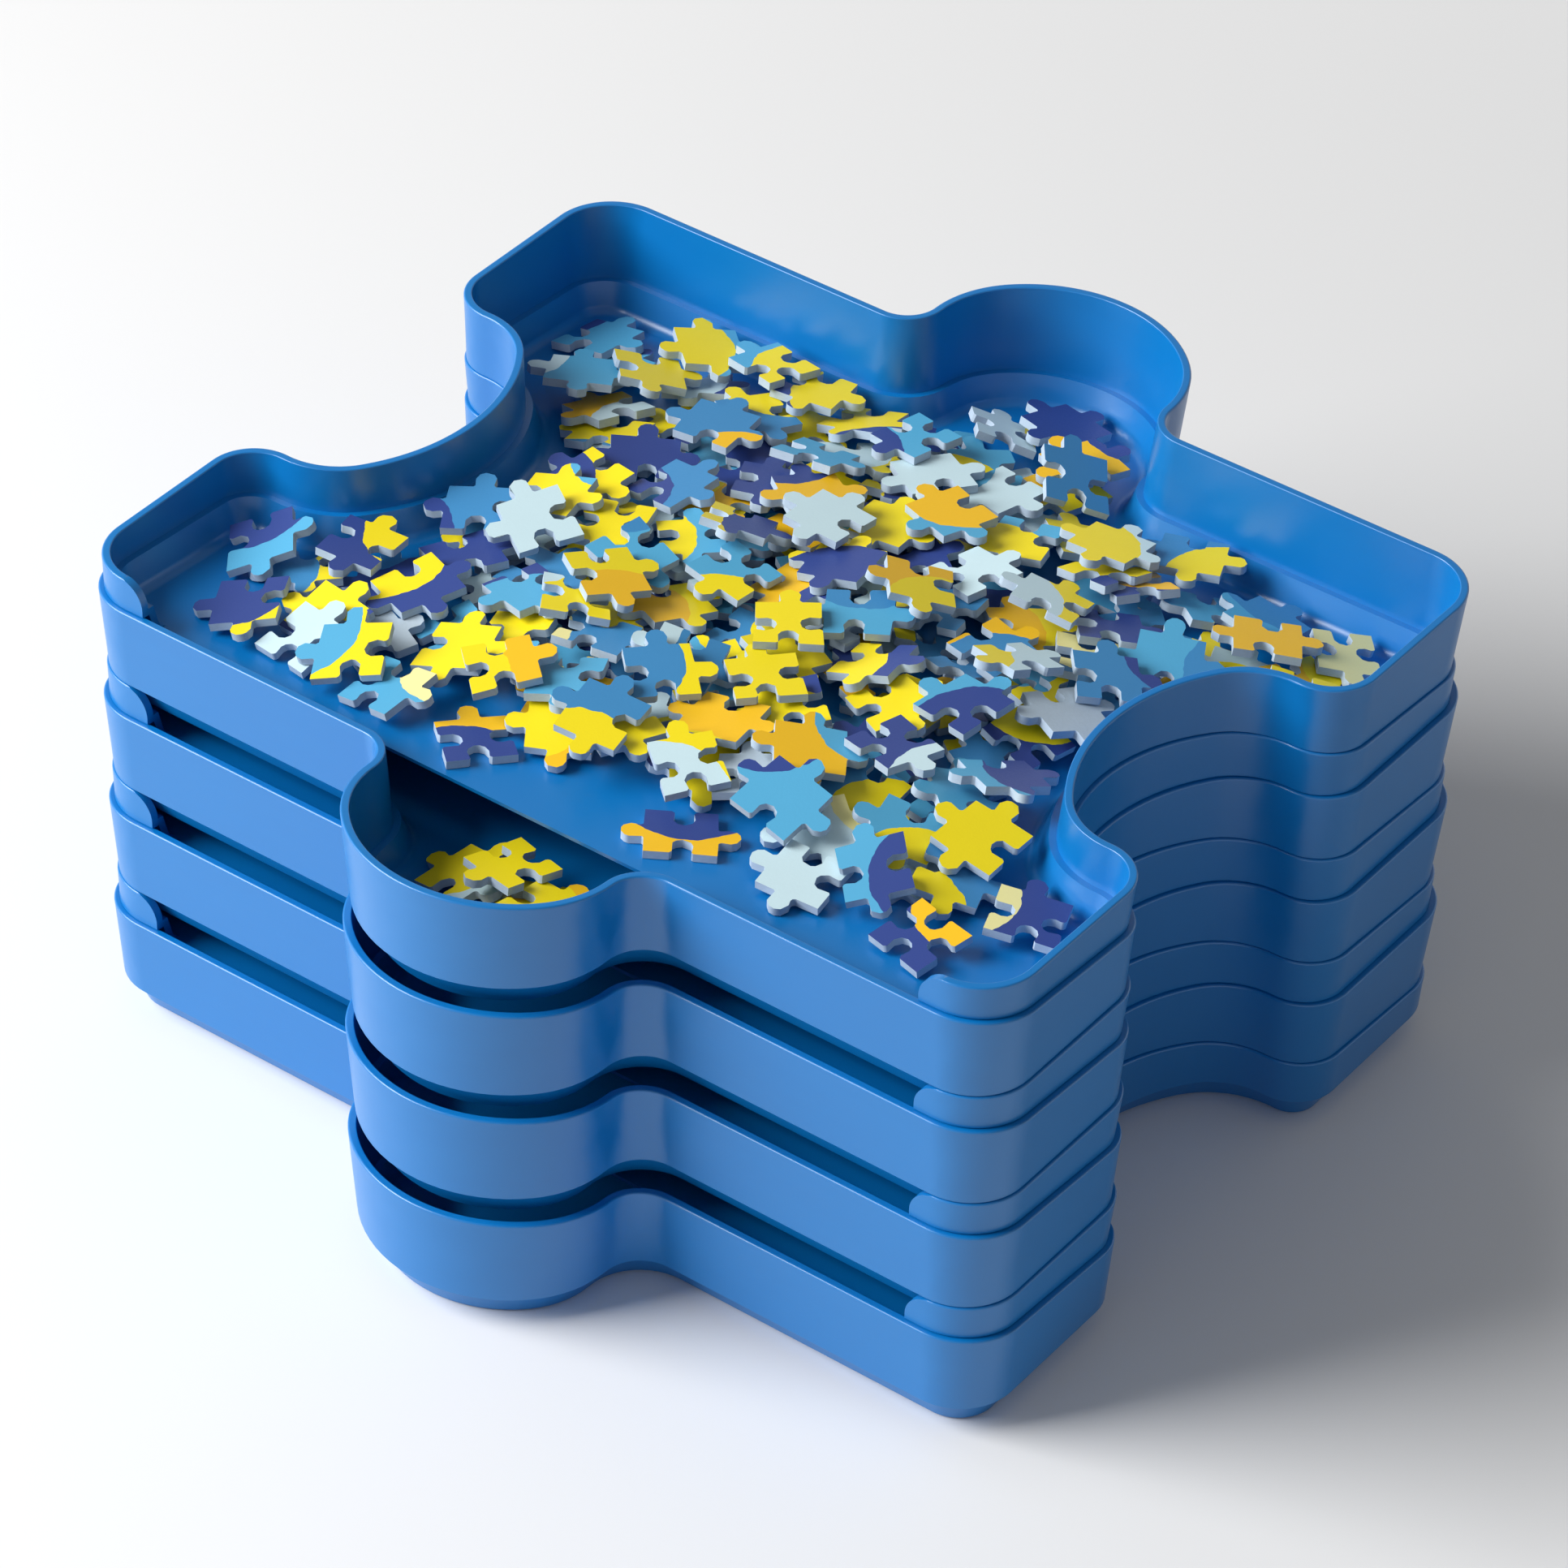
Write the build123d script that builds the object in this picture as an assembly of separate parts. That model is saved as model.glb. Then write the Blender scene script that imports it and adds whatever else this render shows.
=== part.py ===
from build123d import *
import math
import os
import random

import numpy as np

os.makedirs("parts", exist_ok=True)

# A stack of eight identical plastic trays, each shaped like a jigsaw piece, for sorting loose
# jigsaw pieces. Every second tray is turned by half a turn, so that the wedge of one tray
# cancels the wedge of the next and the stack stands level. Millimetres, +Z up. The origin is
# the middle of the stack's footprint. A tray's own frame has its open pouring edge on -Y, its
# knob on +Y and its underside on Z = 0. The top tray's knob points to +Y.

# The tray in plan, measured along the outside of its shoulder
tray_count = 8
tray_width = 250.0
tray_length = 188.0
corner_radius = 14.0

# The knob on the back edge: an oval of three arcs that runs into the edge by two fillets
knob_width = 64.0
knob_reach = 37.5
knob_crown = 28.0
knob_side_radius = 25.0
knob_neck_radius = 10.0

# The socket in the middle of each side, which is the same kind of oval turned inwards
socket_width = 73.0
socket_reach = 36.5
socket_crown = 24.5
socket_side_radius = 19.0
socket_mouth_radius = 11.0

# The tray's section: a tapered lower part that nests, a shoulder that rests on the rim below,
# and a drafted upper wall that is low in front and high at the back
wall = 2.0
floor_thickness = 1.8
ledge_thickness = 1.8
nest_depth = 7.4
nest_taper = 20.0
front_rise = 8.4
back_rise = 21.3
wall_draft = 4.2
nest_clearance = 0.8
seat_gap = 0.03

# Small edges
rim_round = 0.5
rim_inner_round = 0.3
shoulder_round = 0.25
underside_chamfer = 0.6
floor_fillet = 3.0

# The open front: the side walls wrap round the front corners and end in rounded stubs
stub_length = 19.0
stub_round = 6.5

# Loose jigsaw pieces: square bodies with a knob or a hole in each side
piece_size = 15.4
piece_skew = 1.2
piece_thickness = 2.0
tab_radius = 2.45
tab_neck_radius = 1.0
tab_centre_out = 2.6
tab_wander = 0.9

# How the pieces lie: their number, the patches of floor that they cover, and how steeply one
# may lean on the others. Each patch is (across, along, half across, half along). Across and
# along are shares of half the tray's width and length; the half sizes are in millimetres.
pile_count = 195
pile_seed = 11
pile_middle = (0.05, 0.12)
pile_mound = 7.0
pile_patches = [
    (-0.74, 0.66, 27, 27),
    (-0.38, 0.58, 28, 27),
    (0.05, 0.30, 72, 54),
    (0.02, -0.28, 70, 38),
    (-0.55, -0.30, 27, 30),
    (-0.65, -0.72, 36, 24),
    (0.00, 1.08, 22, 24),
    (0.67, 0.72, 29, 19),
    (0.66, -0.52, 33, 38),
]
stray_pieces = [(-0.20, -0.82, 0.85), (0.10, -0.85, 0.45), (0.24, -0.80, 0.6)]
knob_count = 7
knob_patches = [(0.00, 1.10, 19, 15)]
lean_limit = 24.0
steep_cost = 8.0
piece_gap = 0.12
wall_gap = 0.4
grid_step = 0.5

# The printed colours, and how many of each hundred pieces show them
piece_colours = [
    ("yellow", 29),
    ("golden", 7),
    ("cream", 6),
    ("ice", 13),
    ("sky", 15),
    ("azure", 8),
    ("indigo", 22),
]

draft_slope = math.tan(math.radians(wall_draft))
taper_slope = math.tan(math.radians(nest_taper))
wedge_slope = (back_rise - front_rise) / tray_length
wedge_angle = math.degrees(math.atan(wedge_slope))
middle_rise = (front_rise + back_rise) / 2
shoulder_step = wall - draft_slope * front_rise + nest_clearance


def unit(x, y):
    size = math.hypot(x, y)
    return x / size, y / size


def arc_middle(centre, radius, start, end):
    """The middle of an arc of under half a turn."""
    x, y = unit(start[0] + end[0] - 2 * centre[0], start[1] + end[1] - 2 * centre[1])
    return centre[0] + radius * x, centre[1] + radius * y


def arcs_to_face(arcs):
    """A face bounded by arcs, and by straight edges where they don't meet.

    An arc of one point is a corner.
    """
    edges = []
    pen = arcs[-1][-1]
    for arc in arcs:
        if math.dist(pen, arc[0]) > 1e-6:
            edges.append(Line(pen, arc[0]))
        if len(arc) == 3:
            edges.append(ThreePointArc(*arc))
        pen = arc[-1]
    return make_face(edges)


def lobe(width, reach, crown, side_radius, blend_radius, grow=0.0):
    """Arcs of an oval lobe on a straight edge, in (along, out), from its left end to its right.

    Each arc is (start, middle, end). A grown lobe keeps its centres and changes its radii.
    """
    middle_out = reach - crown
    offset = width / 2 - side_radius
    top_radius = (offset**2 + crown**2 - side_radius**2) / (2 * (crown - side_radius))
    top_centre = (0.0, reach - top_radius)
    side_centre = (offset, middle_out)
    gap = side_radius + blend_radius
    blend_centre = (
        offset + math.sqrt(gap**2 - (blend_radius - middle_out) ** 2),
        blend_radius,
    )
    top, side, blend = top_radius + grow, side_radius + grow, blend_radius - grow

    foot = (blend_centre[0], grow)
    x, y = unit(blend_centre[0] - offset, blend_centre[1] - middle_out)
    neck = (offset + side * x, middle_out + side * y)
    x, y = unit(side_centre[0] - top_centre[0], side_centre[1] - top_centre[1])
    crown_end = (top_centre[0] + top * x, top_centre[1] + top * y)
    right = [
        (crown_end, arc_middle(side_centre, side, crown_end, neck), neck),
        (neck, arc_middle(blend_centre, blend, neck, foot), foot),
    ]
    left = [
        tuple((-x, y) for x, y in reversed(arc)) for arc in reversed(right)
    ]
    crest = ((-crown_end[0], crown_end[1]), (0.0, reach + grow), crown_end)
    return left + [crest] + right


def outline_arcs(grow=0.0):
    """The arcs of the tray's plan, grown outwards all round by grow, counter-clockwise."""
    half_width, half_length = tray_width / 2, tray_length / 2
    side, end = half_width + grow, half_length + grow
    corner = corner_radius + grow
    bend = corner * math.sqrt(0.5)
    socket = lobe(socket_width, socket_reach, socket_crown, socket_side_radius,
                  socket_mouth_radius, -grow)
    knob = lobe(knob_width, knob_reach, knob_crown, knob_side_radius, knob_neck_radius, grow)
    inner_x, inner_y = half_width - corner_radius, half_length - corner_radius

    def corner_arc(sign_x, sign_y):
        first = (sign_x * inner_x, sign_y * end)
        second = (sign_x * side, sign_y * inner_y)
        middle = (sign_x * (inner_x + bend), sign_y * (inner_y + bend))
        return (first, middle, second) if sign_x * sign_y < 0 else (second, middle, first)

    arcs = [corner_arc(1, -1)]
    arcs += [tuple((half_width - out, along) for along, out in arc) for arc in socket]
    arcs += [corner_arc(1, 1)]
    arcs += [tuple((along, half_length + out) for along, out in reversed(arc))
             for arc in reversed(knob)]
    arcs += [corner_arc(-1, 1)]
    arcs += [tuple((-half_width + out, along) for along, out in reversed(arc))
             for arc in reversed(socket)]
    arcs += [corner_arc(-1, -1)]
    return arcs


def tapered(*levels):
    """A solid through outlines given as (height, growth), with straight walls between."""
    faces = [Pos(0, 0, height) * arcs_to_face(outline_arcs(grow)) for height, grow in levels]
    return loft(Sketch() + faces, ruled=True)


def lower_grow(height):
    """Growth of the nesting part's outside at a height: it narrows towards the underside."""
    return -(shoulder_step + (nest_depth - height) * taper_slope)


def upper_grow(height):
    """Growth of the upper wall's outside at a height: it leans outwards."""
    return (height - nest_depth) * draft_slope


def rim_plane():
    """The plane of the rim, which rises from the open front to the knob."""
    tilt = math.radians(wedge_angle)
    return Plane(
        origin=(0, 0, nest_depth + middle_rise),
        x_dir=(1, 0, 0),
        z_dir=(0, -math.sin(tilt), math.cos(tilt)),
    )


def rim_faces(body):
    """Faces of the body that lie in the rim's plane."""
    rim = rim_plane()
    return [
        face for face in body.faces()
        if face.geom_type == GeomType.PLANE
        and abs(rim.to_local_coords(face.center()).Z) < 1e-4
        and abs(face.normal_at().dot(rim.z_dir)) > 1 - 1e-6
    ]


def front_cut():
    """What is taken away in front: all above the floor, up to the rounded ends of the walls."""
    opening = tray_width / 2 - stub_length
    rim_front = nest_depth + front_rise
    depth = corner_radius + wall
    start = -tray_length / 2 - wall
    lower = Pos(0, start + depth / 2, floor_thickness) * Box(
        2 * opening, depth, nest_depth + middle_rise,
        align=(Align.CENTER, Align.CENTER, Align.MIN),
    )
    bottom, shoulder, high = rim_front - stub_round, opening + stub_round, rim_front + back_rise
    bend = stub_round * math.sqrt(0.5)
    arc = ThreePointArc(
        (opening, bottom), (shoulder - bend, bottom + bend), (shoulder, rim_front)
    )
    half = make_face([
        arc,
        Line((shoulder, rim_front), (shoulder, high)),
        Line((shoulder, high), (0, high)),
        Line((0, high), (0, bottom)),
        Line((0, bottom), (opening, bottom)),
    ])
    profile = Plane.XZ.offset(tray_length / 2) * (half + mirror(half, Plane.YZ))
    tilt = math.radians(wedge_angle)
    slope_way = Vector(0, math.cos(tilt), math.sin(tilt))
    upper = extrude(profile, depth, dir=slope_way) + extrude(profile, wall, dir=-slope_way)
    return lower + upper


def make_tray():
    """One tray in its own frame."""
    ledge = nest_depth + ledge_thickness
    top = nest_depth + back_rise + wedge_slope * knob_reach + wall
    seam = nest_depth + shoulder_round
    body = tapered(
        (0, lower_grow(0) - underside_chamfer),
        (underside_chamfer, lower_grow(underside_chamfer)),
        (seam, lower_grow(seam)),
    )
    body += tapered(
        (nest_depth, -shoulder_round), (seam, upper_grow(seam)), (top, upper_grow(top))
    )
    lower_hollow = tapered(
        (floor_thickness, lower_grow(floor_thickness) - wall), (ledge, lower_grow(ledge) - wall)
    )
    foot = lower_hollow.faces().sort_by(Axis.Z)[0].edges()
    hollow = fillet(foot, floor_fillet)
    hollow += tapered((ledge, upper_grow(ledge) - wall), (top + 1, upper_grow(top + 1) - wall))
    body -= hollow
    body = split(body, bisect_by=rim_plane(), keep=Keep.BOTTOM)
    body = fillet(rim_faces(body)[0].outer_wire().edges(), rim_round)
    body = fillet(rim_faces(body)[0].inner_wires()[0].edges(), rim_inner_round)
    return body - front_cut()


def tray_places():
    """Where each tray goes, from the top tray to the bottom one.

    Even trays stand level and are turned by half a turn; odd trays are tipped by the wedge
    angle about the middle of their shoulder, so that their own rim is level.
    """
    tilt = math.radians(wedge_angle)
    drift = middle_rise * math.sin(tilt)
    places = []
    seat = nest_depth
    for index in range(tray_count, 0, -1):
        if index % 2 == 0:
            places.append(Pos(0, 0, seat) * Rot(0, 0, 180) * Pos(0, 0, -nest_depth))
            seat += middle_rise + wedge_slope * drift / 2 + seat_gap / math.cos(tilt)
        else:
            places.append(
                Pos(0, -drift / 2, seat) * Rot(-wedge_angle, 0, 0) * Pos(0, 0, -nest_depth)
            )
            seat += middle_rise * math.cos(tilt) + seat_gap
    return places[::-1]


def piece_arcs(rng):
    """The arcs of one jigsaw piece about its own middle, counter-clockwise."""
    half = piece_size / 2
    corners = [
        (x * half + rng.uniform(-1, 1) * piece_skew / 2,
         y * half + rng.uniform(-1, 1) * piece_skew / 2)
        for x, y in ((-1, -1), (1, -1), (1, 1), (-1, 1))
    ]
    reach = tab_radius + tab_neck_radius
    foot = math.sqrt(reach**2 - (tab_centre_out - tab_neck_radius) ** 2)
    arcs = []
    for start, end in zip(corners, corners[1:] + corners[:1]):
        length = math.dist(start, end)
        along = unit(end[0] - start[0], end[1] - start[1])
        middle = length / 2 + rng.uniform(-1, 1) * tab_wander
        out = rng.choice((-1, 1))
        neck = unit(foot, tab_neck_radius - tab_centre_out)
        grip = (tab_radius * neck[0], tab_centre_out + tab_radius * neck[1])
        bend = arc_middle((foot, tab_neck_radius), tab_neck_radius, grip, (foot, 0.0))
        tab = [
            ((-foot, 0.0), (-bend[0], bend[1]), (-grip[0], grip[1])),
            ((-grip[0], grip[1]), (0.0, tab_centre_out + tab_radius), grip),
            (grip, bend, (foot, 0.0)),
        ]
        for arc in tab:
            arcs.append(tuple(
                (start[0] + along[0] * (middle + x) + along[1] * y * out,
                 start[1] + along[1] * (middle + x) - along[0] * y * out)
                for x, y in arc
            ))
        arcs.append((end,))
    return arcs


def arc_points(arcs, steps):
    """Points along arcs and at corners."""
    points = []
    for arc in arcs:
        if len(arc) == 1:
            points.append(arc[0])
            continue
        (x1, y1), (x2, y2), (x3, y3) = arc
        twice = 2 * (x1 * (y2 - y3) + x2 * (y3 - y1) + x3 * (y1 - y2))
        s1, s2, s3 = x1**2 + y1**2, x2**2 + y2**2, x3**2 + y3**2
        x = (s1 * (y2 - y3) + s2 * (y3 - y1) + s3 * (y1 - y2)) / twice
        y = (s1 * (x3 - x2) + s2 * (x1 - x3) + s3 * (x2 - x1)) / twice
        first, last = math.atan2(y1 - y, x1 - x), math.atan2(y3 - y, x3 - x)
        turn = (last - first) % (2 * math.pi)
        if (math.atan2(y2 - y, x2 - x) - first) % (2 * math.pi) > turn:
            turn -= 2 * math.pi
        radius = math.hypot(x1 - x, y1 - y)
        for step in range(steps + 1):
            angle = first + turn * step / steps
            points.append((x + radius * math.cos(angle), y + radius * math.sin(angle)))
    return np.array(points)


def covered(points, x, y):
    """Which of the grid's points lie inside a closed outline."""
    inside = np.zeros(x.shape, bool)
    for (x1, y1), (x2, y2) in zip(points, np.roll(points, -1, axis=0)):
        if y1 != y2:
            crosses = (y > y1) != (y > y2)
            inside ^= crosses & (x < x1 + (y - y1) * (x2 - x1) / (y2 - y1))
    return inside


def widened(cells):
    """The cells and their eight neighbours."""
    wide = cells.copy()
    wide[1:] |= cells[:-1]
    wide[:-1] |= cells[1:]
    side = wide.copy()
    wide[:, 1:] |= side[:, :-1]
    wide[:, :-1] |= side[:, 1:]
    return wide


class Floor:
    """Height of the tray's floor, and of what lies on it, over a grid in the tray's frame."""

    def __init__(self):
        reach = tray_width / 2
        self.xs = np.arange(-reach, reach, grid_step)
        self.ys = np.arange(-tray_length / 2, tray_length / 2 + knob_reach, grid_step)
        x, y = np.meshgrid(self.xs, self.ys)
        foot = math.tan(math.radians((90 - nest_taper) / 2)) * floor_fillet
        self.height = np.full(x.shape, np.inf)
        for height in (nest_depth + ledge_thickness, floor_thickness + floor_fillet / 2):
            grow = lower_grow(height - floor_fillet / 2) - wall - wall_gap
            inside = covered(arc_points(outline_arcs(grow), 8), x, y)
            self.height[inside] = height
        grow = lower_grow(floor_thickness) - wall - wall_gap - foot
        self.height[covered(arc_points(outline_arcs(grow), 8), x, y)] = floor_thickness
        free_edge = -tray_length / 2 - lower_grow(floor_thickness) + wall_gap
        in_front = (np.abs(x) < tray_width / 2 - stub_length - wall_gap) & (y > free_edge)
        self.height[in_front & (y < -tray_length / 2 + corner_radius)] = floor_thickness

    def window(self, points):
        """The part of the grid round some points."""
        x1, y1 = points.min(axis=0) - 2 * grid_step
        x2, y2 = points.max(axis=0) + 2 * grid_step
        columns = slice(max(0, np.searchsorted(self.xs, x1)), np.searchsorted(self.xs, x2))
        rows = slice(max(0, np.searchsorted(self.ys, y1)), np.searchsorted(self.ys, y2))
        x, y = np.meshgrid(self.xs[columns], self.ys[rows])
        return rows, columns, x, y

    def settle(self, points, spot, turn):
        """Lay a piece down at a spot. Returns its plane and the cells it covers, or nothing."""
        slope = np.zeros(2)
        for attempt in range(2):
            bottom, top = laid(points, spot, turn, slope)
            rows, columns, x, y = self.window(np.vstack((bottom, top)))
            cells = covered(bottom, x, y)
            if attempt == 1:
                cells |= covered(top, x, y)
            cells = widened(cells)
            height = self.height[rows, columns][cells]
            if not height.size or not np.isfinite(height).all():
                return None
            if attempt == 0:
                slope = resting_slope(x[cells], y[cells], height, spot)
                if math.hypot(*slope) > math.tan(math.radians(lean_limit)):
                    return None
        level = (height - slope[0] * x[cells] - slope[1] * y[cells]).max()
        level += piece_gap + grid_step / 2 * np.abs(slope).sum()
        return slope, level, rows, columns, cells

    def filled(self, x, y):
        """Mean height round a spot, over a piece's body, beyond what the mound has there."""
        half = piece_size / 2
        across = 2 * x / tray_width - pile_middle[0]
        along = 2 * y / tray_length - pile_middle[1]
        rows = slice(*np.searchsorted(self.ys, (y - half, y + half)))
        columns = slice(*np.searchsorted(self.xs, (x - half, x + half)))
        return self.height[rows, columns].mean() + pile_mound * (across**2 + along**2)

    def cover(self, slope, level, rows, columns, cells):
        """Raise the floor to the top of a piece that was laid down."""
        x, y = np.meshgrid(self.xs[columns], self.ys[rows])
        top = slope[0] * x + slope[1] * y + level + piece_thickness * math.sqrt(1 + slope @ slope)
        top += grid_step / 2 * np.abs(slope).sum()
        part = self.height[rows, columns]
        part[cells] = np.maximum(part, top)[cells]


def leaning(turn, slope):
    """Directions of a piece's own x, y and z once it is turned and leans with a slope."""
    normal = np.array((-slope[0], -slope[1], 1.0))
    normal /= np.linalg.norm(normal)
    x_way = np.array((math.cos(turn), math.sin(turn), 0.0))
    x_way -= normal * (x_way @ normal)
    x_way /= np.linalg.norm(x_way)
    return x_way, np.cross(normal, x_way), normal


def laid(points, spot, turn, slope):
    """A piece's outline seen from above at its underside and at its top."""
    x_way, y_way, normal = leaning(turn, slope)
    bottom = np.outer(points[:, 0], x_way) + np.outer(points[:, 1], y_way)
    bottom = bottom[:, :2] + spot
    return bottom, bottom + normal[:2] * piece_thickness


def resting_slope(x, y, height, spot):
    """Slope of the plane that rests on three of the points, round the spot, above the rest."""
    far, deep = 1e3, -1e4
    props = [(spot[0] - far, spot[1] - far, deep), (spot[0] + far, spot[1] - far, deep),
             (spot[0], spot[1] + far, deep)]
    for attempt in range(80):
        rows = np.array([(px, py, 1.0) for px, py, _ in props])
        plane = np.linalg.solve(rows, [pz for _, _, pz in props])
        above = height - plane[0] * x - plane[1] * y - plane[2]
        worst = int(above.argmax())
        if above[worst] < 1e-3:
            break
        fresh = (x[worst], y[worst], height[worst])
        best, choice = -np.inf, props
        for drop in range(3):
            trial = props[:drop] + [fresh] + props[drop + 1:]
            corners = np.array([(px, py, 1.0) for px, py, _ in trial]).T
            if abs(np.linalg.det(corners)) > 1e-6:
                share = np.linalg.solve(corners, (spot[0], spot[1], 1.0)).min()
                if share > best:
                    best, choice = share, trial
        props = choice
    return plane[:2]


def in_patches(x, y, patches):
    """Whether a spot is in one of the pile's rounded patches."""
    return any(
        ((x - across * tray_width / 2) / half_across) ** 4
        + ((y - along * tray_length / 2) / half_along) ** 4 < 1
        for across, along, half_across, half_along in patches
    )


def make_pile(rng, count, patches, strays=()):
    """Loose pieces laid down one after the other, each as (solid, colour), in a tray's frame."""
    floor = Floor()
    names = [name for name, share in piece_colours]
    shares = [share for name, share in piece_colours]
    pieces = []
    waiting = [
        (across * tray_width / 2, along * tray_length / 2, turn) for across, along, turn in strays
    ]
    while len(pieces) < count:
        arcs = piece_arcs(rng)
        points = arc_points(arcs, 3)
        if waiting:
            spots = [waiting.pop()]
        else:
            spots = [
                (rng.uniform(floor.xs[0], floor.xs[-1]), rng.uniform(floor.ys[0], floor.ys[-1]),
                 rng.uniform(0, 2 * math.pi))
                for attempt in range(40)
            ]
            spots = [spot for spot in spots if in_patches(*spot[:2], patches)]
            spots.sort(key=lambda spot: floor.filled(*spot[:2]))
        choices = []
        for x, y, turn in spots[:3]:
            found = floor.settle(points, np.array((x, y)), turn)
            if found:
                slope, level = found[:2]
                height = level + slope[0] * x + slope[1] * y + steep_cost * math.hypot(*slope)
                choices.append((height, len(choices), x, y, turn, found))
        if not choices:
            continue
        _, _, x, y, turn, (slope, level, *window) = min(choices)
        floor.cover(slope, level, *window)
        x_way, _, normal = leaning(turn, slope)
        seat = Plane(origin=(x, y, level + slope[0] * x + slope[1] * y), x_dir=tuple(x_way),
                     z_dir=tuple(normal))
        solid = seat.location * extrude(arcs_to_face(arcs), piece_thickness)
        pieces.append((solid, rng.choices(names, shares)[0]))
    return pieces


def save(shape, name, with_curves=True):
    """Write one node. Flat-sided pieces need no curves on their faces in the file."""
    shape.label = name
    export_step(shape, f"parts/{name}.step", write_pcurves=with_curves)


tray = make_tray()
places = tray_places()
extent = Compound([place * tray for place in places]).bounding_box()
stand = Pos(-extent.center().X, -extent.center().Y, -extent.min.Z)
for number, place in enumerate(places, start=1):
    save(stand * place * tray, f"tray_{number}")

rng = random.Random(pile_seed)
pile = make_pile(rng, pile_count, pile_patches, stray_pieces)
for colour, share in piece_colours:
    group = Compound([piece for piece, shown in pile if shown == colour])
    save(stand * places[0] * group, f"loose_pieces_{colour}", with_curves=False)
handful = Compound([piece for piece, shown in make_pile(rng, knob_count, knob_patches)])
save(stand * places[1] * handful, "loose_pieces_in_tray_2", with_curves=False)
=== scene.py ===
import math
import random

import bpy
import numpy as np
from mathutils import Matrix, Vector


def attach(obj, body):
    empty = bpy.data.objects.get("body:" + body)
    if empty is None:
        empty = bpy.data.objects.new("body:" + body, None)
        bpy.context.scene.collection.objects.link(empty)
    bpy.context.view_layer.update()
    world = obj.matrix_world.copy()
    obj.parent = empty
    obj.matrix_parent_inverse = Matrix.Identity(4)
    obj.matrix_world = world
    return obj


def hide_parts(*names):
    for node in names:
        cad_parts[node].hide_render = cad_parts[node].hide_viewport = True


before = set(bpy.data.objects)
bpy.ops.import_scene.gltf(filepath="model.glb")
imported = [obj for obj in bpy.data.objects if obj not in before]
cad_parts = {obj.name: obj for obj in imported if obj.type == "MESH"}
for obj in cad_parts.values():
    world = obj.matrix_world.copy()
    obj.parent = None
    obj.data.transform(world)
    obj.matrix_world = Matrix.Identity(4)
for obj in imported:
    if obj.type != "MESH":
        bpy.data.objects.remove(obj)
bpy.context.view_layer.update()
print("frame loaded:", len(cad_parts), "nodes")


# Small helpers

mergeWithin = 0.000002  # corners nearer than this are one, in metres


def pickOnly(piece):  # one object selected and active, all else let go
    bpy.ops.object.select_all(action="DESELECT")
    piece.select_set(True)
    bpy.context.view_layer.objects.active = piece


def copyOfNode(nodeName, pieceName):  # a CAD node's triangles, merged, without their normals
    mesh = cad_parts[nodeName].data.copy()
    mesh.materials.clear()
    piece = bpy.data.objects.new(pieceName, mesh)
    bpy.context.scene.collection.objects.link(piece)
    pickOnly(piece)
    bpy.ops.mesh.customdata_custom_splitnormals_clear()
    bpy.ops.object.mode_set(mode="EDIT")
    bpy.ops.mesh.select_all(action="SELECT")
    bpy.ops.mesh.remove_doubles(threshold=mergeWithin)
    bpy.ops.mesh.select_all(action="DESELECT")
    bpy.ops.object.mode_set(mode="OBJECT")
    return piece


def smoothOver(piece, degrees):  # soft on the roundings, flat on the faces beside them
    pickOnly(piece)
    bpy.ops.object.shade_smooth_by_angle(angle=math.radians(degrees))
    piece.modifiers.new("evenShading", "WEIGHTED_NORMAL").keep_sharp = True
    bpy.ops.object.modifier_apply(modifier="evenShading")


def settle(piece, nodeName, bodyName):
    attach(piece, bodyName)
    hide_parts(nodeName)


# Shader maths

class Socket:  # a socket that adds up like a number
    def __init__(self, bench, socket):
        self.bench, self.socket = bench, socket

    def maths(self, operation, first, second):
        sockets = {0: first, 1: second}
        return self.bench.node("ShaderNodeMath", {"operation": operation}, sockets)["Value"]

    def __add__(self, other):
        return self.maths("ADD", self, other)

    def __radd__(self, other):
        return self.maths("ADD", other, self)

    def __sub__(self, other):
        return self.maths("SUBTRACT", self, other)

    def __rsub__(self, other):
        return self.maths("SUBTRACT", other, self)

    def __mul__(self, other):
        return self.maths("MULTIPLY", self, other)

    def __rmul__(self, other):
        return self.maths("MULTIPLY", other, self)

    def __gt__(self, other):
        return self.maths("GREATER_THAN", self, other)

    def __lt__(self, other):
        return self.maths("LESS_THAN", self, other)


class Outputs:  # a node's outputs
    def __init__(self, bench, made):
        self.bench, self.made = bench, made

    def __getitem__(self, name):  # by name or by place
        return Socket(self.bench, self.made.outputs[name])


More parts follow.
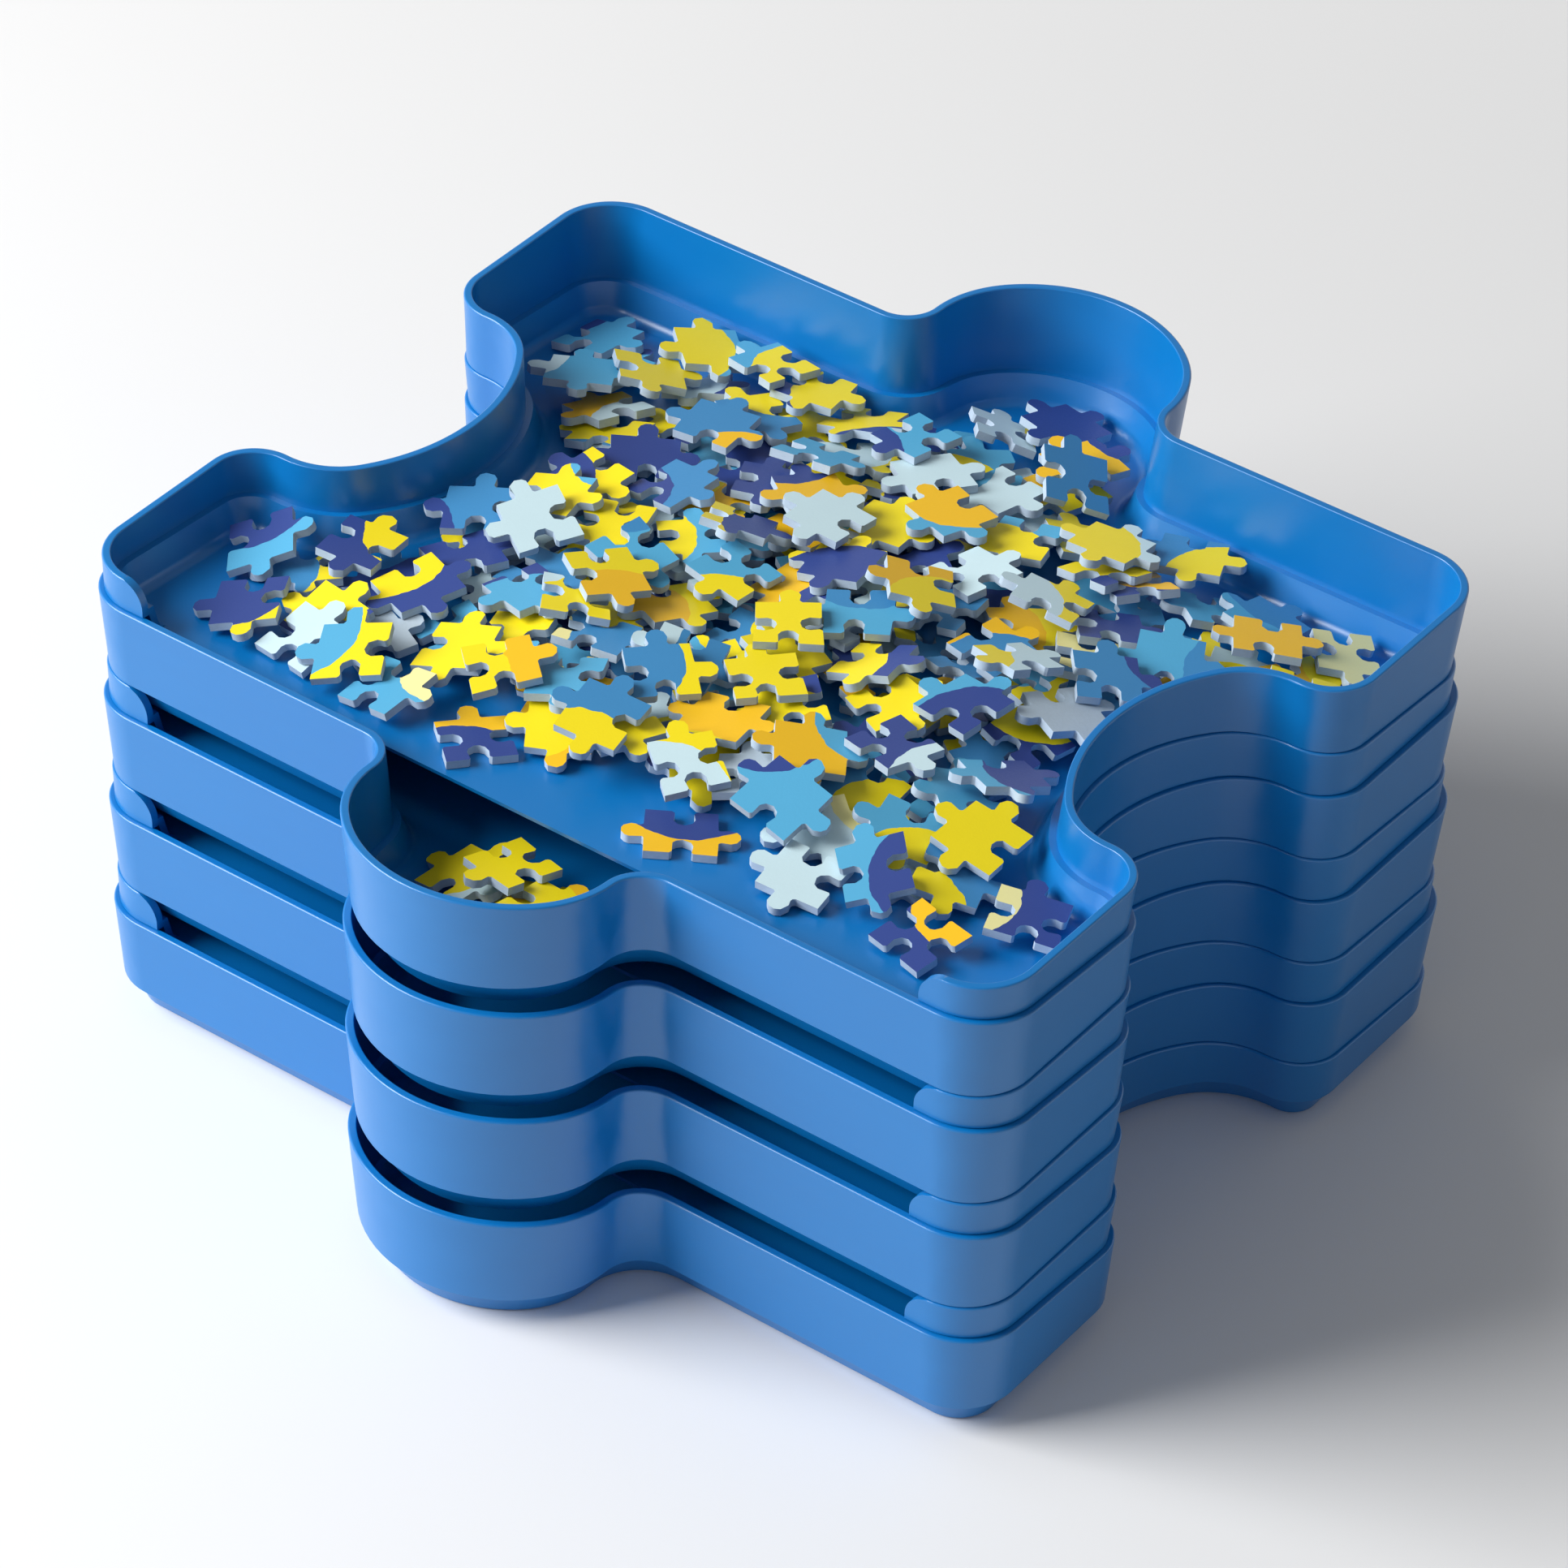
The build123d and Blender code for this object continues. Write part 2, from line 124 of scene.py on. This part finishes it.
class Bench:  # where a material's or the world's nodes are put together
    def __init__(self, owner):
        owner.use_nodes = True
        self.tree = owner.node_tree
        self.tree.nodes.clear()

    def node(self, kind, settings=None, sockets=None):
        made = self.tree.nodes.new(kind)
        for name, value in (settings or {}).items():
            if name == "stops":
                ramp = made.color_ramp
                while len(ramp.elements) > 1:
                    ramp.elements.remove(ramp.elements[0])
                for index, (place, colour) in enumerate(value):
                    stop = ramp.elements[0] if index == 0 else ramp.elements.new(place)
                    stop.position, stop.color = place, (*colour, 1.0)
            elif name == "interpolation":
                made.color_ramp.interpolation = value
            else:
                setattr(made, name, value)
        for name, value in (sockets or {}).items():
            if isinstance(value, Socket):
                self.tree.links.new(value.socket, made.inputs[name])
            else:
                made.inputs[name].default_value = value
        return Outputs(self, made)

    def vector(self, operation, sockets):
        return self.node("ShaderNodeVectorMath", {"operation": operation}, sockets)

    def dim(self, colour, share):  # a colour made darker by a number
        return self.vector("SCALE", {0: colour, "Scale": share})["Vector"]

    def blend(self, share, *colours):  # a mix of two colours, by the places of its sockets
        first, second = (each if isinstance(each, Socket) else (*each, 1.0) for each in colours)
        sockets = {0: share, 6: first, 7: second}
        return self.node("ShaderNodeMix", {"data_type": "RGBA"}, sockets)[2]

    def stretched(self, where, tall):  # places with their heights drawn out
        sockets = {"Vector": where, "Scale": (1.0, 1.0, tall)}
        return self.node("ShaderNodeMapping", None, sockets)["Vector"]

    def noise(self, where, scale, detail=3.0, roughness=0.5):
        sockets = {"Vector": where, "Scale": scale, "Detail": detail, "Roughness": roughness}
        return self.node("ShaderNodeTexNoise", None, sockets)["Fac"]

    def fade(self, value, start, end):  # from nothing at the start to one at the end
        sockets = {"Value": value, "From Min": start, "From Max": end}
        settings = {"interpolation_type": "SMOOTHSTEP"}
        return self.node("ShaderNodeMapRange", settings, sockets)["Result"]

    def bump(self, height, strength, distance):
        sockets = {"Height": height, "Strength": strength, "Distance": distance}
        return self.node("ShaderNodeBump", None, sockets)["Normal"]

    def surface(self, **sockets):
        names = {"colour": "Base Color", "roughness": "Roughness", "normal": "Normal",
                 "ior": "IOR", "alpha": "Alpha"}
        shader = self.node("ShaderNodeBsdfPrincipled", None,
                           {names[name]: value for name, value in sockets.items()})["BSDF"]
        self.node("ShaderNodeOutputMaterial", None, {"Surface": shader})


def newMaterial(name):
    material = bpy.data.materials.new(name)
    return material, Bench(material)


# The trays: moulded blue plastic

trays = {
    "count": 8,
    "softUnder": 32,    # edges that turn by fewer degrees than this are shaded soft
    "blue": (0.0008, 0.194, 0.545),
    "blueDeep": (0.0004, 0.162, 0.490),
    "roughness": 0.32,
    "ior": 1.64,
    "flow": 7.0,        # how far the streaks of the moulding are drawn out
    "grain": 0.000012,  # depth of the fine moulded grain, in metres
}


def makeTrayPlastic():
    material, bench = newMaterial("mouldedBluePlastic")
    where = bench.node("ShaderNodeTexCoord")["Object"]
    cloudy = bench.noise(where, 14.0, 2.0)
    patchy = bench.noise(where, 90.0, 4.0, 0.6)
    grain = bench.noise(where, 2600.0, 2.0)
    flow = bench.noise(bench.stretched(where, trays["flow"]), 45.0, 3.0)
    share = cloudy * 0.6 + flow * 0.3 + grain * 0.1
    rough = trays["roughness"] - 0.05 + patchy * 0.07 + grain * 0.03
    bench.surface(
        colour=bench.blend(share, trays["blueDeep"], trays["blue"]),
        roughness=rough,
        normal=bench.bump(grain + patchy * 0.4, 0.5, trays["grain"]),
        ior=trays["ior"],
    )
    return material


blueMaterial = makeTrayPlastic()
for number in range(1, trays["count"] + 1):
    tray = copyOfNode(f"tray_{number}", f"tray_{number}_shell")
    tray.data.materials.append(blueMaterial)
    smoothOver(tray, trays["softUnder"])
    settle(tray, f"tray_{number}", f"tray_{number}")
print("trays dressed")


# Loose jigsaw pieces: printed card with a pale cut edge

cards = {
    "seed": 40,
    "facet": 28,              # degrees that one flat of a piece's round edge spans
    "softUnder": 45,
    "turnedOver": 0.04,       # share of the pieces that lie face down
    "twoColoured": 0.75,      # share of the pieces whose print has a second colour
    "seconds": ("yellow", "sky", "indigo", "ice", "azure", "yellow", "sky", "golden", "indigo"),
    "inks": {                 # printed colours
        "yellow": (0.99, 0.80, 0.010),
        "golden": (0.98, 0.57, 0.014),
        "cream": (0.94, 0.87, 0.38),
        "ice": (0.64, 0.84, 0.90),
        "sky": (0.095, 0.43, 0.70),
        "azure": (0.055, 0.27, 0.56),
        "indigo": (0.034, 0.066, 0.28),
    },
    "board": (0.52, 0.63, 0.74),
    "boardDark": (0.32, 0.42, 0.54),
    "back": (0.52, 0.63, 0.72),
}
handful = {                   # the few pieces in the second tray's knob
    "seed": 62,
    "seconds": ("golden", "ice", "golden"),
    "allSecond": 0.2,         # share of them that shows its second colour all over
}


def makeCardPrint(inkName, seconds):
    material, bench = newMaterial(f"cardPrint.{inkName}")
    inks = cards["inks"]
    flat = bench.node("ShaderNodeUVMap", {"uv_map": "pieceMap"})["UV"]
    axes = bench.node("ShaderNodeSeparateXYZ", None, {"Vector": flat})
    chance = bench.node("ShaderNodeSeparateXYZ", None, {
        "Vector": bench.node("ShaderNodeAttribute", {"attribute_name": "pieceChance"})["Vector"]})
    where = bench.node("ShaderNodeTexCoord")["Object"]
    wobble = bench.noise(where, 260.0, 2.0)
    fine = bench.noise(where, 1900.0, 3.0)
    soft = bench.noise(where, 120.0, 2.0)
    line = axes["X"] + axes["Y"] * axes["Y"] * 0.35 + wobble * 0.16 - 0.08
    order = [name for name in seconds if name != inkName]
    stops = [(index / len(order), inks[name]) for index, name in enumerate(order)]
    second = bench.node("ShaderNodeValToRGB", {"stops": stops, "interpolation": "CONSTANT"},
                        {"Fac": chance["Y"]})["Color"]
    printed = bench.blend(line > chance["X"], inks[inkName], second)
    bench.surface(
        colour=bench.dim(printed, 1.02 - chance["Z"] * 0.12 - fine * 0.04 - soft * 0.04),
        roughness=0.36 + fine * 0.14,
        normal=bench.bump(fine + soft * 0.6, 0.35, 0.00006),
        ior=1.46,
    )
    return material


def makeBoard(name, light, dark, streak):
    material, bench = newMaterial(name)
    where = bench.node("ShaderNodeTexCoord")["Object"]
    fibres = bench.noise(bench.stretched(where, streak), 1100.0, 4.0, 0.65)
    flecks = bench.noise(where, 420.0, 2.0)
    bench.surface(
        colour=bench.blend(fibres * 0.7 + flecks * 0.3, dark, light),
        roughness=0.72 + fibres * 0.18,
        normal=bench.bump(fibres, 0.6, 0.00008),
    )
    return material


boardMaterial = makeBoard("cardCutEdge", cards["board"], cards["boardDark"], 4.0)
backDark = tuple(part * 0.8 for part in cards["back"])
backMaterial = makeBoard("cardBack", cards["back"], backDark, 1.0)


def islandsOf(mesh):  # a number for each vertex, the same all over one loose piece
    label = np.arange(len(mesh.vertices))
    ends = np.zeros(len(mesh.edges) * 2, np.int64)
    mesh.edges.foreach_get("vertices", ends)
    ends = ends.reshape(-1, 2)
    while True:
        low = np.minimum(label[ends[:, 0]], label[ends[:, 1]])
        fresh = label.copy()
        np.minimum.at(fresh, ends[:, 0], low)
        np.minimum.at(fresh, ends[:, 1], low)
        fresh = fresh[fresh]
        if (fresh == label).all():
            return label
        label = fresh


def faceNormals(mesh):
    normals = np.zeros(len(mesh.polygons) * 3)
    mesh.polygons.foreach_get("normal", normals)
    return normals.reshape(-1, 3)


def makeLooseCards(nodeName, bodyName, inkName, seed, seconds, allSecond):
    rng = random.Random(seed)
    piece = copyOfNode(nodeName, nodeName.replace("loose_pieces", "jigsaw_pieces"))
    bpy.ops.object.mode_set(mode="EDIT")
    bpy.ops.mesh.select_all(action="SELECT")
    bpy.ops.mesh.dissolve_limited(angle_limit=math.radians(cards["facet"]))
    bpy.ops.mesh.select_all(action="DESELECT")
    bpy.ops.object.mode_set(mode="OBJECT")
    smoothOver(piece, cards["softUnder"])

    mesh = piece.data
    for material in (makeCardPrint(inkName, seconds), boardMaterial, backMaterial):
        mesh.materials.append(material)
    places = np.zeros(len(mesh.vertices) * 3)
    mesh.vertices.foreach_get("co", places)
    places = places.reshape(-1, 3)
    label = islandsOf(mesh)
    normals = faceNormals(mesh)
    areas = np.zeros(len(mesh.polygons))
    mesh.polygons.foreach_get("area", areas)
    firstCorner = np.array([face.vertices[0] for face in mesh.polygons])
    uvs = np.zeros((len(mesh.vertices), 2))
    chance = np.zeros((len(mesh.vertices), 3))
    slots = np.ones(len(mesh.polygons), np.int32)
    for island in sorted(set(label.tolist()), key=lambda mark: tuple(places[mark].round(5))):
        mine = label == island
        faces = np.flatnonzero(mine[firstCorner])
        top = faces[np.argmax(areas[faces] * (normals[faces, 2] > 0.7))]  # the largest that looks up
        up = normals[top]
        turn = rng.uniform(0, 2 * math.pi)
        across = np.array((math.cos(turn), math.sin(turn), 0.0))
        across -= up * (across @ up)
        across /= np.linalg.norm(across)
        middle = places[mine].mean(axis=0)
        uvs[mine, 0] = (places[mine] - middle) @ across * 100  # in centimetres
        uvs[mine, 1] = (places[mine] - middle) @ np.cross(up, across) * 100
        twoColoured = rng.random() < cards["twoColoured"]
        split = rng.uniform(-0.7, 0.75) if twoColoured else 3.0  # past the edge: one colour
        if rng.random() < allSecond:
            split = -3.0  # past the other edge: the second colour alone
        chance[mine] = (split, rng.random(), rng.random())
        printed = faces[normals[faces] @ up > 0.5]
        slots[printed] = 2 if rng.random() < cards["turnedOver"] else 0
    mesh.polygons.foreach_set("material_index", slots)
    corners = np.zeros(len(mesh.loops), np.int64)
    mesh.loops.foreach_get("vertex_index", corners)
    mesh.uv_layers.new(name="pieceMap").data.foreach_set("uv", uvs[corners].ravel())
    drawn = mesh.attributes.new("pieceChance", "FLOAT_VECTOR", "POINT")
    drawn.data.foreach_set("vector", chance.ravel())
    mesh.update()
    settle(piece, nodeName, bodyName)
    return np.array((len(set(label.tolist())), len(mesh.polygons)))


made = np.zeros(2, np.int64)  # pieces and faces
for number, inkName in enumerate(cards["inks"]):
    made += makeLooseCards(
        f"loose_pieces_{inkName}", "tray_1", inkName, cards["seed"] + number, cards["seconds"], 0.0)
made += makeLooseCards("loose_pieces_in_tray_2", "tray_2", "yellow", **handful)
print("loose pieces dressed: {} pieces, {} faces".format(*made))


# Floor, light and camera

studio = {
    "floorReach": 1.3,
    "floorFades": (0.30, 1.2),    # where the floor begins to melt away, and where it is gone
    "floor": (0.86, 0.86, 0.86),
    "floorShade": 0.975,          # its darker patches
    "ambient": 0.25,              # light from all round
    "horizon": 1.0,               # brightness of the background that shows low down
    "overhead": 0.22,             # and high up
    "between": (0.2, 0.55),       # heights between which it goes from one to the other
    "keyFrom": (-1.25, -1.10, 1.20),
    "keySize": 1.3,
    "keyPower": 64.0,
    "keyAim": (0.0, 0.0, 0.08),
}


def makeFloor():
    bpy.ops.object.select_all(action="DESELECT")
    bpy.ops.mesh.primitive_circle_add(vertices=96, radius=studio["floorReach"], fill_type="NGON")
    floor = bpy.context.object
    floor.name = "studioFloor"
    material, bench = newMaterial("palePaper")
    where = bench.node("ShaderNodeTexCoord")["Object"]
    tooth = bench.noise(where, 900.0, 3.0)
    broad = bench.noise(where, 3.0, 2.0)
    far = bench.vector("LENGTH", {0: where})["Value"]
    shade = tuple(part * studio["floorShade"] for part in studio["floor"])
    bench.surface(
        colour=bench.blend(broad * 0.5 + tooth * 0.2, studio["floor"], shade),
        roughness=0.85 + tooth * 0.1,
        normal=bench.bump(tooth, 0.1, 0.00005),
        alpha=1.0 - bench.fade(far, *studio["floorFades"]),
    )
    floor.data.materials.append(material)


def makeWorld():
    world = bpy.data.worlds.new("studioRoom")
    bpy.context.scene.world = world
    bench = Bench(world)
    path = bench.node("ShaderNodeLightPath")
    way = bench.node("ShaderNodeTexCoord")["Generated"]
    height = bench.node("ShaderNodeSeparateXYZ", None, {"Vector": way})["Z"]
    low, high = ((studio[name],) * 3 for name in ("horizon", "overhead"))
    tone = bench.blend(bench.fade(height, *studio["between"]), low, high)
    seen = bench.node("ShaderNodeBackground", None, {"Color": tone})["Background"]
    even = {"Color": (1, 1, 1, 1), "Strength": studio["ambient"]}
    room = bench.node("ShaderNodeBackground", None, even)["Background"]
    direct = path["Is Camera Ray"] + path["Is Glossy Ray"] + path["Is Transmission Ray"]
    both = bench.node("ShaderNodeMixShader", None, {0: direct, 1: room, 2: seen})["Shader"]
    bench.node("ShaderNodeOutputWorld", None, {"Surface": both})


def makeKeyLight():
    lamp = bpy.data.lights.new("softWindow", "AREA")
    lamp.shape, lamp.size, lamp.energy = "SQUARE", studio["keySize"], studio["keyPower"]
    light = bpy.data.objects.new("softWindow", lamp)
    bpy.context.scene.collection.objects.link(light)
    light.location = studio["keyFrom"]
    beam = Vector(studio["keyAim"]) - Vector(studio["keyFrom"])
    light.rotation_euler = beam.to_track_quat("-Z", "Y").to_euler()


cameraStand = {
    "aim": (0.09128, -0.12367, 0.18573),
    "azimuth": 35.889,
    "elevation": 38.164,
    "distance": 1.3576,
    "roll": 1.520,
    "lens": 156.55,
}


def makeCamera():
    names = ("azimuth", "elevation", "roll")
    turn, rise, roll = (math.radians(cameraStand[name]) for name in names)
    flat = math.cos(rise)
    back = Vector((math.sin(turn) * flat, -math.cos(turn) * flat, math.sin(rise)))
    right = Vector((math.cos(turn), math.sin(turn), 0.0))
    up = back.cross(right)
    level = right * math.cos(roll) + up * math.sin(roll)
    plumb = up * math.cos(roll) - right * math.sin(roll)
    lens = bpy.data.cameras.new("photoCamera")
    lens.lens, lens.sensor_width = cameraStand["lens"], 36.0
    camera = bpy.data.objects.new("photoCamera", lens)
    bpy.context.scene.collection.objects.link(camera)
    place = Matrix((level, plumb, back)).transposed().to_4x4()
    place.translation = Vector(cameraStand["aim"]) + back * cameraStand["distance"]
    camera.matrix_world = place
    bpy.context.scene.camera = camera


makeFloor()
makeWorld()
makeKeyLight()
makeCamera()
bpy.context.scene.view_settings.view_transform = "Standard"
print("studio ready")
